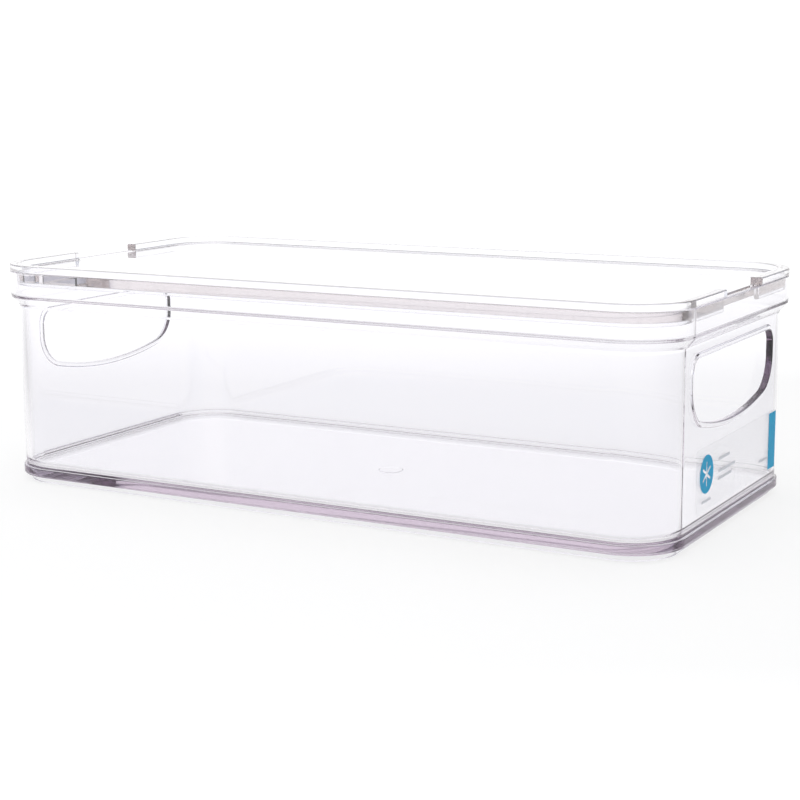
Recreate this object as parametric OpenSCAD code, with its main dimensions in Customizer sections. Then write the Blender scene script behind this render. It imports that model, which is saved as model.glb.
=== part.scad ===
// Clear fridge bin with a lift-off stacking lid and a stick-on label.
// Origin: centre of the footprint, on the surface the bin stands on.
// +X runs along the length, +Y across the width, +Z up.
// Every wall is one section swept round the same rounded rectangle.
// A section is drawn with "inset", the distance inward from the rim's outer face.

/* [Bin] */
// Overall length, over the rim
bin_l = 323; // [240:1:400]
// Overall width, over the rim
bin_w = 160.5; // [120:0.5:220]
// Height of the open bin, from the foot to the top of the rim
bin_h = 95.4; // [80:0.2:160]
// Radius of the rim's corners in plan
corner_r = 25.3; // [22:0.1:40]
// Thickness of the side and end walls
wall_t = 2.5; // [2:0.1:3]
// Thickness of the floor
floor_t = 3.6; // [2:0.1:5]
// Radius of the fillet between the floor and the walls
floor_fillet_r = 4; // [1:0.5:6]

/* [Rim] */
// Height of the upright rim band
rim_h = 11.5; // [10:0.1:16]
// Thickness of the rim band
rim_t = 2.3; // [1.8:0.1:2.6]
// How far the walls stand inside the rim's outer face
wall_inset = 3.6; // [3:0.1:5]
// Height of the sloping shoulder below the rim band
shoulder_h = 4.2; // [3:0.1:8]
// Depth of the upright part of the recess inside the rim that takes the lid
rim_pocket_h = 10.5; // [7.5:0.1:11]

/* [Base] */
// Height of the foot ring
foot_h = 3; // [2:0.1:3.4]
// How far the foot ring stands inside the rim's outer face
foot_inset = 5.8; // [5.6:0.1:8]
// Width of the foot ring
foot_t = 2.2; // [1.5:0.1:3]
// Height of the bead above the foot ring
bead_h = 4; // [3:0.1:8]
// How far the bead stands proud of the walls
bead_proud = 1.1; // [0.4:0.1:2]
// Diameter of the moulding gate mark under the floor
gate_d = 11; // [6:0.5:16]
// Height of the moulding gate mark
gate_h = 0.5; // [0.2:0.1:1]

/* [Handle openings] */
// Length of each opening
handle_l = 96; // [70:1:98]
// Height of each opening at its middle
handle_h = 29.2; // [26:0.2:32]
// Height of the openings' top edge above the ground
handle_top = 74; // [70:0.5:75]
// Radius of the openings' upper corners
handle_upper_r = 6; // [4:0.5:8]
// Radius of the openings' lower corners
handle_lower_r = 14; // [8:0.5:18]
// Radius of the long arc along the openings' lower edge
handle_sag_r = 170; // [120:5:600]
// Width of the raised lip round each opening
lip_w = 2.2; // [1:0.1:4]
// How far the lip stands proud of the wall
lip_proud = 0.5; // [0.3:0.1:1.5]

/* [Lid] */
// Width of the flange that rests on the rim
flange_w = 5.1; // [4.8:0.1:5.3]
// Thickness of the flange
flange_t = 3.1; // [2:0.1:4]
// Gap between the lid's skirt and the inside of the rim
lid_gap = 0.7; // [0.4:0.1:1]
// How far the skirt reaches down below the top of the rim
skirt_h = 6; // [5:0.1:7]
// Thickness of the lid's recessed plate
plate_t = 4.1; // [2:0.1:4.5]
// Depth of the lid's recess below the top of the flange
recess_h = 3.5; // [3.2:0.1:5]
// Width of the finger notch at each end of the lid
notch_w = 43; // [25:1:60]

/* [Label] */
// Thickness of the label's clear film
film_t = 0.2; // [0.1:0.05:0.3]
// Thickness of the printed areas on the film
ink_t = 0.1; // [0.05:0.05:0.1]
// Length of the label along the end wall
label_l = 99; // [60:1:110]
// Height of the label
label_h = 26; // [20:1:28]
// Height of the label's lower edge above the ground
label_z = 12; // [10:1:16]
// How far the label's middle lies towards +Y
label_shift = 7.5; // [-8:0.5:8]
// Diameter of the printed round badge
badge_d = 15.4; // [10:0.2:18]
// Width of the printed stripe at the label's far edge
stripe_w = 9.5; // [4:0.5:14]

/* [Hidden] */
$fn = 96;

clear_tint = [0.93, 0.93, 0.98, 0.45];
film_tint = [0.97, 0.98, 1.0, 0.6];
teal = [0.16, 0.55, 0.69];
grey = [0.62, 0.64, 0.67];

// lower edge of the rim band, and top of the bin's floor
rim_z = bin_h - rim_h;
floor_z = foot_h + floor_t;
wall_inner = wall_inset + wall_t;
// the rim's recess ends in a slope that runs parallel to the shoulder's outer face
pocket_z = bin_h - rim_pocket_h;
pocket_foot_z = pocket_z - (wall_inner - rim_t) * shoulder_h / wall_inset;
bead_inset = wall_inset - bead_proud;
// the lid's levels and insets
lid_top = bin_h + flange_t;
plate_z = lid_top - recess_h - plate_t;
skirt_inset = rim_t + lid_gap;
// how deep one solid reaches into its neighbour where they are one moulding
bite = 0.6;
// the label's plan: its two ends along Y, and where the badge and the lines of print start
label_y0 = label_shift - label_l / 2;
label_y1 = label_shift + label_l / 2;
badge_y = label_y0 + 11.5;
badge_z = label_z + 14.8;
print_y = badge_y + 14;
// height of one line of print, and the bare margin round the stripe
line_h = 1.1;
margin = 0.4;
end_x = bin_l / 2 - wall_inset;

// a rounded rectangle in plan, "inset" inside the rim's outer face
module plan(inset) {
    r = corner_r - inset;
    l = bin_l - 2 * corner_r;
    w = bin_w - 2 * corner_r;
    square([l + 2 * r, w], center = true);
    square([l, w + 2 * r], center = true);
    for (x = [-l / 2, l / 2], y = [-w / 2, w / 2]) translate([x, y]) circle(r);
}

module slab(inset, z, h) {
    translate([0, 0, z]) linear_extrude(h) plan(inset);
}

// sweeps a section, drawn as [inset, z], round the rounded rectangle
module sweep() {
    l = bin_l - 2 * corner_r;
    w = bin_w - 2 * corner_r;
    for (i = [0:3]) {
        side = i % 2 == 0 ? w : l;
        reach = i % 2 == 0 ? l / 2 : w / 2;
        rotate(90 * i) {
            translate([reach, side / 2, 0]) rotate_extrude(angle = 90)
                translate([corner_r, 0]) mirror([1, 0]) children();
            translate([reach + corner_r, side / 2, 0]) rotate([90, 0, 0])
                linear_extrude(side) mirror([1, 0]) children();
        }
    }
}

// the bin's outer profile and inner faces, from the foot ring up to the rim
module bin_section() {
    polygon([
        [foot_inset, 0], [foot_inset, foot_h], [bead_inset, foot_h],
        [bead_inset, foot_h + bead_h], [wall_inset, foot_h + bead_h],
        [wall_inset, rim_z - shoulder_h], [0, rim_z], [0, bin_h],
        [rim_t, bin_h], [rim_t, pocket_z], [wall_inner, pocket_foot_z],
        [wall_inner, floor_z], [foot_inset + foot_t, floor_z], [foot_inset + foot_t, 0]
    ]);
}

module floor_fillet_section() {
    reach = floor_fillet_r + bite;
    difference() {
        translate([wall_inner - bite, floor_z - bite]) square(reach);
        translate([wall_inner + floor_fillet_r, floor_z + floor_fillet_r])
            circle(floor_fillet_r);
    }
}

// points along an arc, from one angle to another
function arc(centre, r, from, to, steps = 14) =
    [for (i = [0:steps]) centre + r * [for (f = [0, 90]) cos(from + (to - from) * i / steps - f)]];

// the handle opening's outline, looking along X, with every edge moved outward by "grow":
// a flat top, and a long arc below that runs smoothly into the lower corners
module handle_outline(grow = 0) {
    corner_y = handle_l / 2 - handle_lower_r;
    upper = [handle_l / 2 - handle_upper_r, handle_top - handle_upper_r];
    sag_z = handle_top - handle_h + handle_sag_r;
    lean = asin(corner_y / (handle_sag_r - handle_lower_r));
    lower = [corner_y, sag_z - (handle_sag_r - handle_lower_r) * cos(lean)];
    upper_arc = arc(upper, handle_upper_r + grow, 90, 0);
    lower_arc = arc(lower, handle_lower_r + grow, 0, lean - 90);
    // each joint with a corner's arc comes from that arc, so the long arc leaves its ends out
    sag_steps = 14;
    sag_arc = arc([0, sag_z], handle_sag_r + grow, lean - 90, -90, sag_steps);
    half = concat(upper_arc, lower_arc, [for (i = [1:sag_steps]) sag_arc[i]]);
    last = len(half) - 1;
    polygon(concat(half, [for (i = [1:last]) [-half[last - i].x, half[last - i].y]]));
}

// one shape at both ends: drawn looking along X, and "thick" thick from "inner" outward
module on_ends(inner, thick) {
    for (s = [-1, 1])
        translate([s * (inner + thick / 2) - thick / 2, 0, 0])
            rotate([90, 0, 90]) linear_extrude(thick) children();
}

module handle_cut() {
    on_ends(end_x - wall_t - bite, wall_t + lip_proud + 2 * bite) handle_outline();
}

module bin() {
    color(clear_tint) difference() {
        union() {
            sweep() bin_section();
            sweep() floor_fillet_section();
            slab(wall_inner - bite, foot_h, floor_t);
            on_ends(end_x - bite, lip_proud + bite) handle_outline(lip_w);
            translate([0, 0, foot_h - gate_h]) cylinder(d = gate_d, h = gate_h + bite);
        }
        handle_cut();
    }
}

// flange resting on the rim, with the skirt that hangs inside it
module lid_section() {
    translate([0, bin_h]) square([flange_w, flange_t]);
    translate([skirt_inset, bin_h - skirt_h])
        square([flange_w - skirt_inset, skirt_h + flange_t / 2]);
}

module lid() {
    color(clear_tint) difference() {
        union() {
            sweep() lid_section();
            slab(flange_w - bite, plate_z, plate_t);
        }
        for (s = [-1, 1])
            translate([s * (bin_l / 2 - flange_w / 2), 0, bin_h])
                cube([flange_w, notch_w, 2 * skirt_h + 2 * bite], center = true);
    }
}

// a thin layer on the +X end wall that follows the wall round its corner
module wall_layer(under, thick) {
    intersection() {
        sweep() translate([wall_inset - under - thick, 0])
            square([thick, rim_z - shoulder_h]);
        translate([bin_l / 4, 0, 0]) rotate([90, 0, 90]) linear_extrude(bin_l / 4) children();
    }
}

// a rounded rectangle standing on the end wall, from one corner to its opposite
module patch(y0, z0, w, h, r) {
    translate([y0 + r, z0]) square([w - 2 * r, h]);
    translate([y0, z0 + r]) square([w, h - 2 * r]);
    for (y = [y0 + r, y0 + w - r], z = [z0 + r, z0 + h - r]) translate([y, z]) circle(r);
}

module label_film() {
    color(film_tint) wall_layer(0, film_t) patch(label_y0, label_z, label_l, label_h, 2);
}

// round badge with a plain six-armed frost star left blank in it
module label_badge() {
    arm_l = 0.64 * badge_d;
    arm_w = 0.075 * badge_d;
    color(teal) wall_layer(film_t, ink_t) translate([badge_y, badge_z]) difference() {
        circle(d = badge_d);
        for (a = [0, 60, 120]) rotate(a) square([arm_w, arm_l], center = true);
    }
}

module label_stripe() {
    color(teal) wall_layer(film_t, ink_t)
        translate([label_y1 - stripe_w, label_z + 2 * margin])
            square([stripe_w - margin, label_h - 4 * margin]);
}

// blank bars where a label carries its lines of print, each from its left end
module label_lines() {
    bar_l = 10;
    // [y, height above the label's lower edge, length]
    bars = [
        [badge_y - bar_l / 2, 3.6, bar_l],
        [print_y, 17.5, 1.3 * bar_l], [print_y, 12.5, 2 * bar_l], [print_y, 9.5, 1.6 * bar_l],
        [label_y1 - stripe_w - 1.2 * bar_l, 6, bar_l]
    ];
    color(grey) wall_layer(film_t, ink_t)
        for (b = bars) translate([b[0], label_z + b[1]]) square([b[2], line_h]);
}

bin();
lid();
label_film();
label_badge();
label_stripe();
label_lines();
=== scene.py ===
"""Clear fridge bin with a lift-off lid and an end label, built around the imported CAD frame.

Bin and lid are rebuilt as closed shells with every edge rounded, so that clear plastic
refracts and pipes light as a moulding does. Lengths named here are millimetres, and "inset"
is the distance inward from the rim's outer face. Meshes are in metres, as the frame is.
"""
import math

import bmesh
import bpy
from mathutils import Matrix, Vector


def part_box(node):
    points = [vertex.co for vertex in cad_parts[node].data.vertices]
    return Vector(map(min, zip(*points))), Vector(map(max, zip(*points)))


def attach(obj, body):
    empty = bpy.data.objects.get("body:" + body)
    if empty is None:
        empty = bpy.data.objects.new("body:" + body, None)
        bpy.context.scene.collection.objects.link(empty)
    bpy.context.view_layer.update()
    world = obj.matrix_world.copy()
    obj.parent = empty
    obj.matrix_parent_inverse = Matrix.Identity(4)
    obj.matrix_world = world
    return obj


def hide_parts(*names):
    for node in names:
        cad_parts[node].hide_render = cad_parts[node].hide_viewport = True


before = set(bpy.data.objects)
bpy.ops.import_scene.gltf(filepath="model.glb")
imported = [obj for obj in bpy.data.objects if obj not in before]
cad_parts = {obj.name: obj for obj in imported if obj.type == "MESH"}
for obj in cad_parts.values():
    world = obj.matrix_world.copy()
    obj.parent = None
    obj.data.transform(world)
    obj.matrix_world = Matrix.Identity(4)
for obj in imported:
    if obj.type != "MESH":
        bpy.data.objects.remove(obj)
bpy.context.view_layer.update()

MM = 0.001

# ---------------------------------------------------------------- sizes, from the frame
bin_low, bin_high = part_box("bin")
lid_low, lid_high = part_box("lid")
film_low, film_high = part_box("label_film")

HALF_L = bin_high.x / MM
HALF_W = bin_high.y / MM
RIM_TOP = bin_high.z / MM
LID_TOP = lid_high.z / MM
SKIRT_BOTTOM = lid_low.z / MM

CORNER_R = 25.3
# how finely bends are cut: steps in each corner of the plan, and the most that one step of
# a small or a broad fillet turns
CORNER_STEPS = 28
FINE_STEP = math.radians(22.5)
BROAD_STEP = math.radians(7.5)
BROAD_R = 1.5

# the bin's section: insets from the rim's outer face, and heights
FOOT_OUT, FOOT_IN = 5.8, 8.0
FLOOR_UNDER, FLOOR_TOP = 3.0, 6.6
BEAD_INSET, BEAD_TOP = 2.5, 7.0
FLOOR_FILLET_R = 4.0
WALL_OUT, WALL_IN = 3.6, 6.1
SHOULDER_LOW, SHOULDER_HIGH = 79.7, 83.9
RIM_IN = 2.3
POCKET_HIGH, POCKET_LOW = 84.9, 80.47
# the rim stops this far under the lid, so that the two shells don't share a face
SEAT_GAP = 0.04

# the hand holes in the end walls, and the raised lip round each
HOLE_HALF_L = 48.0
HOLE_LOW, HOLE_HIGH = 44.8, 74.0
HOLE_LOW_R, HOLE_HIGH_R, HOLE_SAG_R = 14.0, 6.0, 170.0
LIP_W, LIP_PROUD, LIP_R = 2.2, 0.5, 0.8

# the lid's section
FLANGE_IN = 5.1
SKIRT_OUT = 3.0
PLATE_TOP, PLATE_UNDER = 95.0, 90.9
PLATE_REACH = 12.0
PLATE_R = 0.5
NOTCH_HALF = 21.5
# a notch's cut edges are rounded, but less over the last few points towards the plate
NOTCH_EDGE_R = 0.4
NOTCH_FADE = 4

# the moulding gate's mark under the floor
GATE_R, GATE_H = 5.5, 0.5
GATE_STEPS = 48

# the label's film lies a hair off the wall
FILM_UNDER, FILM_TOP = 3.57, 3.42
FILM_CORNER_R = 2.0


# ---------------------------------------------------------------- sections
def left_of(direction):
    return Vector((-direction.y, direction.x))


def fillet(corners):
    """Rounds a polyline's (x, z, radius) corners. Gives (point, normal) pairs, where the
    normal points to the left of the way the line runs, which is out of the material."""
    pairs = []
    last = len(corners) - 1
    for i, (x, z, r) in enumerate(corners):
        here = Vector((x, z))
        if i in (0, last):
            way = Vector(corners[1][:2]) - here if i == 0 else here - Vector(corners[-2][:2])
            pairs.append((here, left_of(way.normalized())))
            continue
        back = (Vector(corners[i - 1][:2]) - here).normalized()
        ahead = (Vector(corners[i + 1][:2]) - here).normalized()
        half = back.angle(ahead) / 2
        turn = math.pi - 2 * half
        if back.x * ahead.y - back.y * ahead.x > 0:
            turn = -turn
        centre = here + (back + ahead).normalized() * (r / math.sin(half))
        spoke = here + back * (r / math.tan(half)) - centre
        steps = max(2, math.ceil(abs(turn) / (FINE_STEP if r < BROAD_R else BROAD_STEP)))
        for k in range(steps + 1):
            spin = Matrix.Rotation(turn * k / steps, 2)
            pairs.append((centre + spin @ spoke, spin @ left_of(-back)))
    return pairs


class Skin:
    """A closed mesh in the making. Each vertex keeps the true normal of its surface, and
    flat cuts keep their own."""

    def __init__(self):
        self.bm = bmesh.new()
        self.normals = []
        self.cuts = self.bm.faces.layers.int.new("cut")

    def vert(self, point, normal):
        v = self.bm.verts.new(point * MM)
        self.normals.append(normal.normalized())
        return v

    def face(self, verts, cut=False):
        distinct = []
        for v in verts:
            if v not in distinct:
                distinct.append(v)
        if len(distinct) > 2:
            face = self.bm.faces.new(distinct)
            face[self.cuts] = cut

    def bridge(self, a, b, closed=False, skip=()):
        """Faces between two equal lists of vertices, which may share some."""
        for k in range(len(a) if closed else len(a) - 1):
            if k not in skip:
                j = (k + 1) % len(a)
                self.face((a[k], b[k], b[j], a[j]))

    def fill(self, *loops):
        """A flat face inside the first loop and outside the others."""
        edges = []
        for loop in loops:
            for pair in zip(loop, loop[1:] + loop[:1]):
                edges.append(self.bm.edges.get(pair) or self.bm.edges.new(pair))
        bmesh.ops.triangle_fill(self.bm, use_beauty=True, use_dissolve=False, edges=edges)

    def finish(self, name, material):
        bm = self.bm
        bmesh.ops.recalc_face_normals(bm, faces=bm.faces)
        for face in bm.faces:
            face.smooth = True
        is_cut = [face[self.cuts] for face in bm.faces]
        mesh = bpy.data.meshes.new(name)
        bm.to_mesh(mesh)
        bm.free()
        normals = []
        for face, cut in zip(mesh.polygons, is_cut):
            normals += [face.normal if cut else self.normals[v] for v in face.vertices]
        mesh.normals_split_custom_set(normals)
        mesh.materials.append(material)
        obj = bpy.data.objects.new(name, mesh)
        bpy.context.scene.collection.objects.link(obj)
        return obj


def stations(end_stops=()):
    """Places round the rounded rectangle, as (centre of turn, outward direction) pairs.
    end_stops adds places on the two straight ends, at these y values."""
    hx, hy = HALF_L - CORNER_R, HALF_W - CORNER_R
    places = []
    for i, (sx, sy) in enumerate(((1, 1), (-1, 1), (-1, -1), (1, -1))):
        for k in range(CORNER_STEPS + 1):
            a = math.radians(90 * i + 90 * k / CORNER_STEPS)
            places.append((Vector((sx * hx, sy * hy)), Vector((math.cos(a), math.sin(a)))))
        if i % 2 == 1:
            for y in sorted(end_stops, reverse=sx < 0):
                places.append((Vector((sx * hx, y)), Vector((sx, 0))))
    return places


def to_space(station, pair):
    """A section's (inset, z) point and normal, carried to a station."""
    centre, out = station
    (inset, z), (n_in, n_up) = pair
    xy = centre + out * (CORNER_R - inset)
    return Vector((xy.x, xy.y, z)), Vector((-out.x * n_in, -out.y * n_in, n_up))


def ring(skin, station, section):
    return [skin.vert(*to_space(station, pair)) for pair in section]


# ---------------------------------------------------------------- the bin
def bin_section():
    return fillet([
        (FOOT_IN + 2, FLOOR_UNDER, 0), (FOOT_IN, FLOOR_UNDER, 0.5),
        (FOOT_IN, 0, 0.6), (FOOT_OUT, 0, 0.6), (FOOT_OUT, FLOOR_UNDER, 0.5),
        (BEAD_INSET, FLOOR_UNDER, 0.9), (BEAD_INSET, BEAD_TOP, 0.5),
        (WALL_OUT, BEAD_TOP, 0.5), (WALL_OUT, SHOULDER_LOW, 2.0),
        (0, SHOULDER_HIGH, 1.0), (0, RIM_TOP - SEAT_GAP, 0.5),
        (RIM_IN, RIM_TOP - SEAT_GAP, 0.5), (RIM_IN, POCKET_HIGH, 1.0),
        (WALL_IN, POCKET_LOW, 2.0), (WALL_IN, FLOOR_TOP, FLOOR_FILLET_R),
        (WALL_IN + FLOOR_FILLET_R + 1, FLOOR_TOP, 0),
    ])


def hole_outline():
    """The hand hole's outline as (y, z) points with their outward directions: a flat top,
    and a long arc below that runs smoothly into the lower corners."""
    corner_y = HOLE_HALF_L - HOLE_LOW_R
    reach = HOLE_SAG_R - HOLE_LOW_R
    sag_z = HOLE_LOW + HOLE_SAG_R
    lean = math.degrees(math.asin(corner_y / reach))
    corner_z = sag_z - reach * math.cos(math.radians(lean))
    upper_y, upper_z = HOLE_HALF_L - HOLE_HIGH_R, HOLE_HIGH - HOLE_HIGH_R
    # centre, radius, first and last angle, steps; the first point is left out where it
    # is the last one of the arc before
    arcs = (
        (upper_y, upper_z, HOLE_HIGH_R, 0, 90, range(11)),
        (-upper_y, upper_z, HOLE_HIGH_R, 90, 180, range(11)),
        (-corner_y, corner_z, HOLE_LOW_R, 180, 270 - lean, range(17)),
        (0, sag_z, HOLE_SAG_R, 270 - lean, 270 + lean, range(1, 25)),
        (corner_y, corner_z, HOLE_LOW_R, 270 + lean, 360, range(1, 17)),
    )
    outline = []
    for y, z, r, start, end, steps in arcs:
        for k in steps:
            a = math.radians(start + (end - start) * k / steps[-1])
            spoke = Vector((math.cos(a), math.sin(a)))
            outline.append((Vector((y, z)) + r * spoke, spoke))
    return outline


def hand_hole(skin, side, inner_frame, outer_frame):
    """A through hole in an end wall, with a rolled edge and a raised lip on its outer side."""
    wall_x = HALF_L - WALL_OUT
    wall_t = WALL_IN - WALL_OUT
    # across the hole's edge, from the wall's inner face to its outer one: how far outside
    # the outline, and how far out from the wall
    edge = fillet([
        (2.5, -wall_t, 0), (0, -wall_t, LIP_R), (0, LIP_PROUD, LIP_R),
        (LIP_W - 0.4, LIP_PROUD, 0.4), (LIP_W + 0.2, 0, 0.6), (LIP_W + 1.5, 0, 0),
    ])
    outline = hole_outline()
    loops = []
    for (grow, depth), (n_grow, n_depth) in edge:
        loop = []
        for point, spoke in outline:
            at = point + spoke * grow
            loop.append(skin.vert(Vector((side * (wall_x + depth), at.x, at.y)),
                                  Vector((side * n_depth, spoke.x * n_grow, spoke.y * n_grow))))
        loops.append(loop)
    for a, b in zip(loops, loops[1:]):
        skin.bridge(a, b, closed=True)
    skin.fill(inner_frame, loops[0])
    skin.fill(outer_frame, loops[-1])


def gate_mark(skin, outline):
    """The floor's underside, with the moulding gate's shallow round mark in its middle."""
    edge = fillet([
        (GATE_R + 2, FLOOR_UNDER, 0), (GATE_R, FLOOR_UNDER, 0.2),
        (GATE_R - 0.3, FLOOR_UNDER - GATE_H, 0.2), (GATE_R - 2, FLOOR_UNDER - GATE_H, 0),
    ])
    loops = []
    for (r, z), (n_r, n_z) in edge:
        loop = []
        for k in range(GATE_STEPS):
            a = 2 * math.pi * k / GATE_STEPS
            spoke = Vector((math.cos(a), math.sin(a), 0))
            loop.append(skin.vert(spoke * r + Vector((0, 0, z)),
                                  spoke * n_r + Vector((0, 0, n_z))))
        loops.append(loop)
    for a, b in zip(loops, loops[1:]):
        skin.bridge(a, b, closed=True)
    skin.face(loops[-1])
    skin.fill(outline, loops[0])


def build_bin(material):
    skin = Skin()
    section = bin_section()
    rings = [ring(skin, s, section) for s in stations()]

    def tall_face(inset):
        """The section's step that is the wall's flat face at this inset."""
        for k, (a, b) in enumerate(zip(section, section[1:])):
            on_face = abs(a[0].x - inset) < 0.01 and abs(b[0].x - inset) < 0.01
            if on_face and abs(a[0].y - b[0].y) > (SHOULDER_LOW - BEAD_TOP) / 2:
                return k

    outer, inner = tall_face(WALL_OUT), tall_face(WALL_IN)
    for i, here in enumerate(rings):
        ahead = rings[(i + 1) % len(rings)]
        corner, step = divmod(i, CORNER_STEPS + 1)
        if step < CORNER_STEPS or corner % 2 == 0:
            skin.bridge(here, ahead)
            continue
        skin.bridge(here, ahead, skip=(outer, inner))
        side = 1 if corner == 3 else -1
        frames = [[here[k], ahead[k], ahead[k + 1], here[k + 1]] for k in (inner, outer)]
        hand_hole(skin, side, *frames)
    gate_mark(skin, [r[0] for r in rings])
    skin.face([r[-1] for r in rings])
    return skin.finish("bin_shell", material)


# ---------------------------------------------------------------- the lid
def lid_section():
    """From the plate's underside round the skirt and the flange to the plate's top."""
    return fillet([
        (PLATE_REACH, PLATE_UNDER, 0), (FLANGE_IN, PLATE_UNDER, PLATE_R),
        (FLANGE_IN, SKIRT_BOTTOM, 0.6), (SKIRT_OUT, SKIRT_BOTTOM, 0.6),
        (SKIRT_OUT, RIM_TOP, 0.3), (0, RIM_TOP, 0.45), (0, LID_TOP, 0.7),
        (FLANGE_IN, LID_TOP, 0.6), (FLANGE_IN, PLATE_TOP, PLATE_R),
        (PLATE_REACH, PLATE_TOP, 0),
    ])


def plate_edge_section():
    """The plate's bare edge, as it shows in the finger notches."""
    return fillet([
        (PLATE_REACH, PLATE_UNDER, 0), (FLANGE_IN, PLATE_UNDER, PLATE_R),
        (FLANGE_IN, PLATE_TOP, PLATE_R), (PLATE_REACH, PLATE_TOP, 0),
    ])


def notch_end(skin, place, full, bare):
    """The cut at one end of a notch: a flat face whose outer edges are rounded, and the
    plate's bare edge beside it. Gives the cut's first row and the plate edge's row."""
    into = 1 if place[0].y > 0 else -1
    first, last = 1, len(full) - 2
    radii = []
    for k in range(len(full)):
        along = min(k - first, last - k)
        radii.append(NOTCH_EDGE_R * min(max(along / NOTCH_FADE, 0), 1))
    rows = []
    for turn in (0, 30, 60, 90):
        c, s = math.cos(math.radians(turn)), math.sin(math.radians(turn))
        row = []
        for k, pair in enumerate(full):
            if rows and radii[k] == 0:
                row.append(rows[0][k])
                continue
            point, normal = to_space(place, pair)
            slide = Vector((0, into * radii[k] * (1 - s), 0))
            row.append(skin.vert(point - normal * radii[k] * (1 - c) + slide,
                                 normal * c - Vector((0, into * s, 0))))
        rows.append(row)
    for a, b in zip(rows, rows[1:]):
        skin.bridge(a, b)
    face_row = rows[-1]
    inner = [skin.vert(*to_space(place, pair)) for pair in bare[2:-2]]
    skin.face(face_row[first:last + 1] + inner[::-1], cut=True)
    return rows[0], face_row[:2] + inner + face_row[-2:]


def build_lid(material):
    skin = Skin()
    full, bare = lid_section(), plate_edge_section()
    first_row, second_row = [], []
    for place in stations(end_stops=(-NOTCH_HALF, NOTCH_HALF)):
        if abs(place[0].y) > NOTCH_HALF + 0.01:
            row = ring(skin, place, full)
            first_row.append(row)
            second_row.append(row)
            continue
        cut, edge = notch_end(skin, place, full, bare)
        # going round, a notch's first cut closes the flange and its second opens it
        is_closing = (place[0].y < 0) == (place[1].x > 0)
        first_row.append(cut if is_closing else edge)
        second_row.append(edge if is_closing else cut)
    for i in range(len(first_row)):
        skin.bridge(second_row[i], first_row[(i + 1) % len(first_row)])
    skin.face([row[0] for row in first_row])
    skin.face([row[-1] for row in first_row])
    return skin.finish("lid_shell", material)


# ---------------------------------------------------------------- the label's film
def build_film(material):
    """A thin clear sheet on the end wall, rounded at its corners, that follows the wall."""
    skin = Skin()
    low, high = film_low / MM, film_high / MM
    turn_y = HALF_W - CORNER_R

    def on_wall(y, z, inset):
        past = max(y - turn_y, 0)
        r = CORNER_R - inset
        out = Vector((math.sqrt(r * r - past * past), past, 0)).normalized()
        return Vector((HALF_L - CORNER_R, min(y, turn_y), z)) + out * r, out

    quarter = [math.radians(15 * k) for k in range(7)]
    bend = [FILM_CORNER_R * (1 - math.cos(a)) for a in quarter]
    drop = [FILM_CORNER_R * (1 - math.sin(a)) for a in quarter]
    # columns of the sheet, as (y, how far its ends draw in from the top and bottom edges)
    columns = [(low.y + b, d) for b, d in zip(bend, drop)]
    columns += [(y, 0) for y in (low.y + 20, 0, turn_y - 10, turn_y - 0.5)]
    columns += [(high.y - b, d) for b, d in reversed(list(zip(bend, drop)))]
    layers = []
    for inset, facing in ((FILM_TOP, 1), (FILM_UNDER, -1)):
        rows = []
        for z_side in (-1, 1):
            row = []
            for y, d in columns:
                z = low.z + d if z_side < 0 else high.z - d
                point, out = on_wall(y, z, inset)
                row.append(skin.vert(point, out * facing))
            rows.append(row)
        skin.bridge(*rows)
        layers.append(rows)
    top, under = layers
    outline_top = top[0] + top[1][::-1]
    outline_under = under[0] + under[1][::-1]
    skin.bridge(outline_top, outline_under, closed=True)
    return skin.finish("label_clear_film", material)


# ---------------------------------------------------------------- materials
PLASTIC = (0.970, 0.967, 0.984, 1)
PLASTIC_IOR = 1.55
# what is left of light in the depth of the plastic; the lid's is the clearer one
BIN_DEPTH_TINT = (0.93, 0.91, 0.93, 1)
LID_DEPTH_TINT = (0.974, 0.968, 0.966, 1)
DEPTH_DENSITY = 49.0

FILM = (0.90, 0.90, 0.94, 1)
TEAL = (0.012, 0.30, 0.52)
GREY = (0.6, 0.61, 0.66)
# how far light soaks into the label's layers, in metres
SOAK_DEPTH = 0.0005


class Nodes:
    """Short calls for building one node tree."""

    def __init__(self, tree):
        self.tree = tree

    def feed(self, socket, value):
        """Links a socket to another one, or sets its plain value."""
        if isinstance(value, bpy.types.NodeSocket):
            self.tree.links.new(value, socket)
        else:
            socket.default_value = value

    def put(self, node, **inputs):
        """Feeds a node's sockets by name, with _ for a space."""
        for name, value in inputs.items():
            self.feed(node.inputs[name.replace("_", " ")], value)
        return node

    def add(self, kind, **inputs):
        return self.put(self.tree.nodes.new(kind), **inputs)

    def ramp(self, fac, stops):
        """A colour ramp, from (position, colour or grey level) stops."""
        node = self.add("ShaderNodeValToRGB", Fac=fac)
        elements = node.color_ramp.elements
        while len(elements) < len(stops):
            elements.new(1.0)
        for element, (position, level) in zip(elements, stops):
            element.position = position
            color = level if isinstance(level, tuple) else (level, level, level)
            element.color = (*color, 1)
        return node.outputs["Color"]

    def math(self, operation, a, b=0.0):
        node = self.add("ShaderNodeMath")
        node.operation = operation
        self.feed(node.inputs[0], a)
        self.feed(node.inputs[1], b)
        return node.outputs["Value"]

    def vector(self, operation, a, b=(0, 0, 0)):
        """A vector operation whose result is a number."""
        node = self.add("ShaderNodeVectorMath")
        node.operation = operation
        self.feed(node.inputs[0], a)
        self.feed(node.inputs[1], b)
        return node.outputs["Value"]

    def scaled(self, value, **ends):
        """A number carried from one range to another."""
        return self.add("ShaderNodeMapRange", Value=value, **ends).outputs["Result"]

    def blend(self, fac, low, high):
        """A colour between two others."""
        node = self.add("ShaderNodeMix")
        node.data_type = "RGBA"
        factor, color_a, color_b = node.inputs[0], node.inputs[6], node.inputs[7]
        self.feed(factor, fac)
        self.feed(color_a, low)
        self.feed(color_b, high)
        return node.outputs[2]


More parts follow.
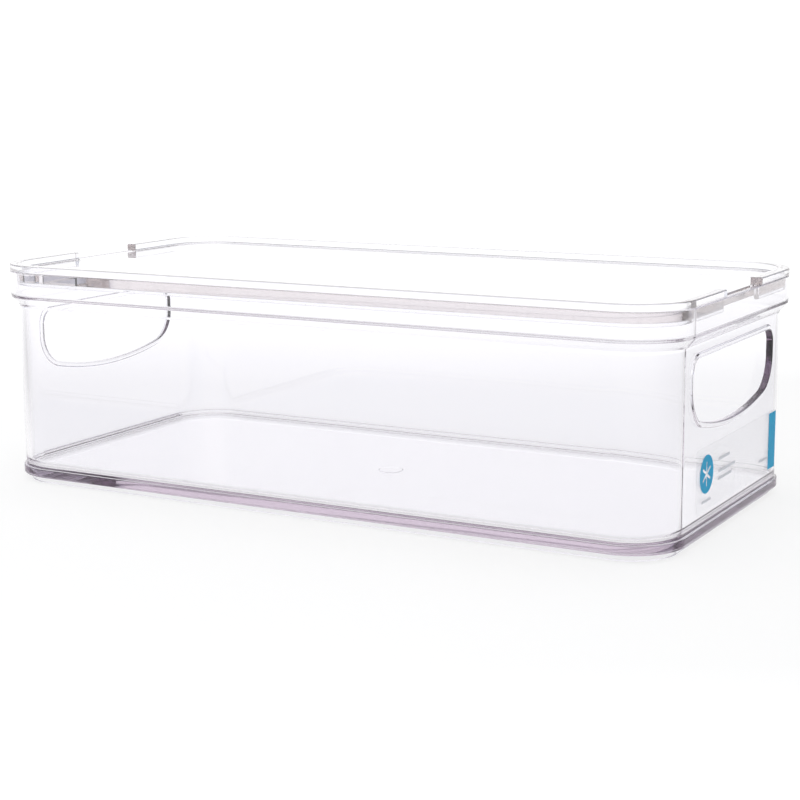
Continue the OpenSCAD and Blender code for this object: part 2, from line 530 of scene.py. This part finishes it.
def new_material(name):
    mat = bpy.data.materials.new(name)
    mat.use_nodes = True
    nodes = Nodes(mat.node_tree)
    bsdf = mat.node_tree.nodes["Principled BSDF"]
    return mat, nodes, bsdf


def clear_plastic(name, depth_tint):
    """Polished clear moulding: faintly wavy, with slight haze and a tint that shows where
    light runs along inside it."""
    mat, nodes, bsdf = new_material(name)
    place = nodes.add("ShaderNodeTexCoord").outputs["Object"]
    waves = nodes.add("ShaderNodeTexNoise", Vector=place, Scale=22.0, Detail=1.0)
    bump = nodes.add("ShaderNodeBump", Height=waves.outputs["Fac"],
                     Strength=0.05, Distance=0.0006)
    haze = nodes.add("ShaderNodeTexNoise", Vector=place, Scale=60.0)
    nodes.put(bsdf, Base_Color=PLASTIC, Transmission_Weight=1.0, IOR=PLASTIC_IOR,
              Roughness=nodes.scaled(haze.outputs["Fac"], To_Max=0.03),
              Normal=bump.outputs["Normal"])
    depth = nodes.add("ShaderNodeVolumeAbsorption", Color=depth_tint, Density=DEPTH_DENSITY)
    nodes.put(nodes.tree.nodes["Material Output"], Volume=depth.outputs["Volume"])
    return mat


def soak(nodes, bsdf, weight):
    """Lets some light through a thin layer, so that the label also shows from inside."""
    nodes.put(bsdf, Subsurface_Weight=weight, Subsurface_Radius=(1.0, 1.0, 1.0),
              Subsurface_Scale=SOAK_DEPTH)


def film_plastic():
    """Nearly clear film, a little cloudy and unevenly so."""
    mat, nodes, bsdf = new_material("label_film")
    place = nodes.add("ShaderNodeTexCoord").outputs["Object"]
    mottle = nodes.add("ShaderNodeTexNoise", Vector=place, Scale=300.0)
    nodes.put(bsdf, Base_Color=FILM, Roughness=0.2,
              Alpha=nodes.scaled(mottle.outputs["Fac"], To_Min=0.07, To_Max=0.11))
    soak(nodes, bsdf, 0.9)
    return mat


def printed(name, color, spread):
    """Ink on the film: a mottled solid tone, whose colour varies by the spread."""
    mat, nodes, bsdf = new_material(name)
    place = nodes.add("ShaderNodeTexCoord").outputs["Object"]
    grain = nodes.add("ShaderNodeTexNoise", Vector=place, Scale=1500.0, Detail=3.0)
    darker = (*(c * (1 - spread) for c in color), 1)
    lighter = (*(min(c * (1 + spread), 1) for c in color), 1)
    nodes.put(bsdf, Base_Color=nodes.blend(grain.outputs["Fac"], darker, lighter),
              Roughness=0.5, Specular_IOR_Level=0.12)
    soak(nodes, bsdf, 0.6)
    return mat


# ---------------------------------------------------------------- camera, light and floor
VIEW_AZIMUTH = math.radians(29.19)
VIEW_ELEVATION = math.radians(10.61)
VIEW_ROLL = -0.006
VIEW_AXIS = Vector((-math.sin(VIEW_AZIMUTH), math.cos(VIEW_AZIMUTH), 0))
CAMERA_PLACE = (0.38387, -0.67936, 0.18367)
LENS, SENSOR_W = 80.09, 36

WHITE = (1, 1, 1, 1)
SIDE_SHADE = (0.25, 0.275, 0.36)
COOL_FILL = (0.50, 0.54, 0.63)
WORLD_STRENGTH = 1.23

# the floor, in metres and along the view: half its side, and half the width of its white
# path beside the object, with what the path gains per metre away from the object
FLOOR_HALF = 3.0
PATH_HALF, PATH_SPREAD = 0.21, 0.235
FLOOR_GREY = (0.35, 0.35, 0.35, 1)


def build_camera():
    """The camera at the photograph's viewing angle."""
    data = bpy.data.cameras.new("camera")
    data.sensor_width = SENSOR_W
    data.lens = LENS
    cam = bpy.data.objects.new("camera", data)
    turn = (Matrix.Rotation(VIEW_AZIMUTH, 4, "Z")
            @ Matrix.Rotation(math.pi / 2 - VIEW_ELEVATION, 4, "X")
            @ Matrix.Rotation(VIEW_ROLL, 4, "Z"))
    cam.matrix_world = Matrix.Translation(CAMERA_PLACE) @ turn
    bpy.context.scene.collection.objects.link(cam)
    bpy.context.scene.camera = cam


def build_world():
    """Soft studio light: white before and behind the object, greyer to its sides and in a
    band above, with a wide soft light overhead."""
    world = bpy.data.worlds.new("studio")
    bpy.context.scene.world = world
    world.use_nodes = True
    nodes = Nodes(world.node_tree)
    way = nodes.add("ShaderNodeTexCoord").outputs["Generated"]
    height = nodes.add("ShaderNodeSeparateXYZ", Vector=way).outputs["Z"]
    ahead = nodes.math("ABSOLUTE", nodes.vector("DOT_PRODUCT", way, VIEW_AXIS))
    side_light = nodes.ramp(ahead, (
        (0.0, SIDE_SHADE), (0.30, SIDE_SHADE), (0.48, COOL_FILL), (0.70, COOL_FILL), (0.91, 1.0)))
    # all round, the light is white close to the horizon
    lifted = nodes.ramp(height, ((0.02, 0.0), (0.14, 1.0)))
    around = nodes.blend(lifted, WHITE, side_light)
    above = nodes.ramp(height, ((0.0, 0.0), (0.35, 0.0), (0.5, 1.0)))
    overhead = nodes.ramp(height, ((0.0, 0.45), (0.8, 0.45), (0.93, 0.9)))
    nodes.put(nodes.tree.nodes["Background"], Color=nodes.blend(above, around, overhead),
              Strength=WORLD_STRENGTH)


def build_floor():
    """A pale floor with painted light: it glows white on a wide path along the view. Beside the
    path near the object it is greyer with painted shade, a little dimmer with painted shade close
    to the object and to its right, and white again further off."""
    bm = bmesh.new()
    bmesh.ops.create_grid(bm, x_segments=8, y_segments=8, size=FLOOR_HALF)
    mesh = bpy.data.meshes.new("floor")
    bm.to_mesh(mesh)
    bm.free()
    floor = bpy.data.objects.new("floor", mesh)
    bpy.context.scene.collection.objects.link(floor)
    floor.rotation_euler.z = VIEW_AZIMUTH
    mat, nodes, bsdf = new_material("floor_white")
    place = nodes.add("ShaderNodeTexCoord").outputs["Object"]
    split = nodes.add("ShaderNodeSeparateXYZ", Vector=place)
    beside = nodes.math("ABSOLUTE", split.outputs["X"])
    along = nodes.math("ABSOLUTE", split.outputs["Y"])
    half_width = nodes.math("ADD", nodes.math("MULTIPLY", along, PATH_SPREAD), PATH_HALF)
    off_path = nodes.math("MULTIPLY", nodes.math("DIVIDE", beside, half_width), 0.5)
    # painted shade: the floor's glow drops to 0.66 beside the path near the object
    painted_side_shade = nodes.ramp(off_path, ((0.0, 1.0), (0.5, 1.0), (0.85, 0.66)))
    fade = nodes.scaled(nodes.vector("LENGTH", place), From_Min=0.4, From_Max=1.1)
    # painted shade: the floor's glow is dimmer close to the object along the view, and to its
    # right
    dim_near = nodes.scaled(along, From_Min=0.25, From_Max=0.5, To_Min=0.76, To_Max=0.95)
    dim_right = nodes.scaled(split.outputs["X"], From_Min=0.0, From_Max=0.25,
                             To_Min=1.0, To_Max=0.94)
    nodes.put(bsdf, Base_Color=FLOOR_GREY, Roughness=0.9, Specular_IOR_Level=0.0,
              Emission_Color=nodes.blend(fade, painted_side_shade, WHITE),
              Emission_Strength=nodes.math("MULTIPLY", dim_near, dim_right))
    mesh.materials.append(mat)


# ---------------------------------------------------------------- the scene
scene = bpy.context.scene
scene.view_settings.view_transform = "Standard"
# light crosses the bin's floor and the lid's plate by many inner reflections
INNER_BOUNCES = 64
scene.cycles.max_bounces = INNER_BOUNCES
scene.cycles.transmission_bounces = INNER_BOUNCES
scene.cycles.glossy_bounces = INNER_BOUNCES
scene.cycles.transparent_max_bounces = 16

build_camera()
build_world()
build_floor()

bin_shell = build_bin(clear_plastic("clear_plastic_bin", BIN_DEPTH_TINT))
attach(bin_shell, "bin")
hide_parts("bin")

lid_shell = build_lid(clear_plastic("clear_plastic_lid", LID_DEPTH_TINT))
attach(lid_shell, "lid")
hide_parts("lid")

film = build_film(film_plastic())
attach(film, "bin")
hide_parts("label_film")

teal_ink = printed("teal_ink", TEAL, 0.06)
grey_ink = printed("grey_ink", GREY, 0.08)
for node, ink in (("label_badge", teal_ink), ("label_stripe", teal_ink),
                  ("label_lines", grey_ink)):
    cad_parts[node].data.materials.clear()
    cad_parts[node].data.materials.append(ink)
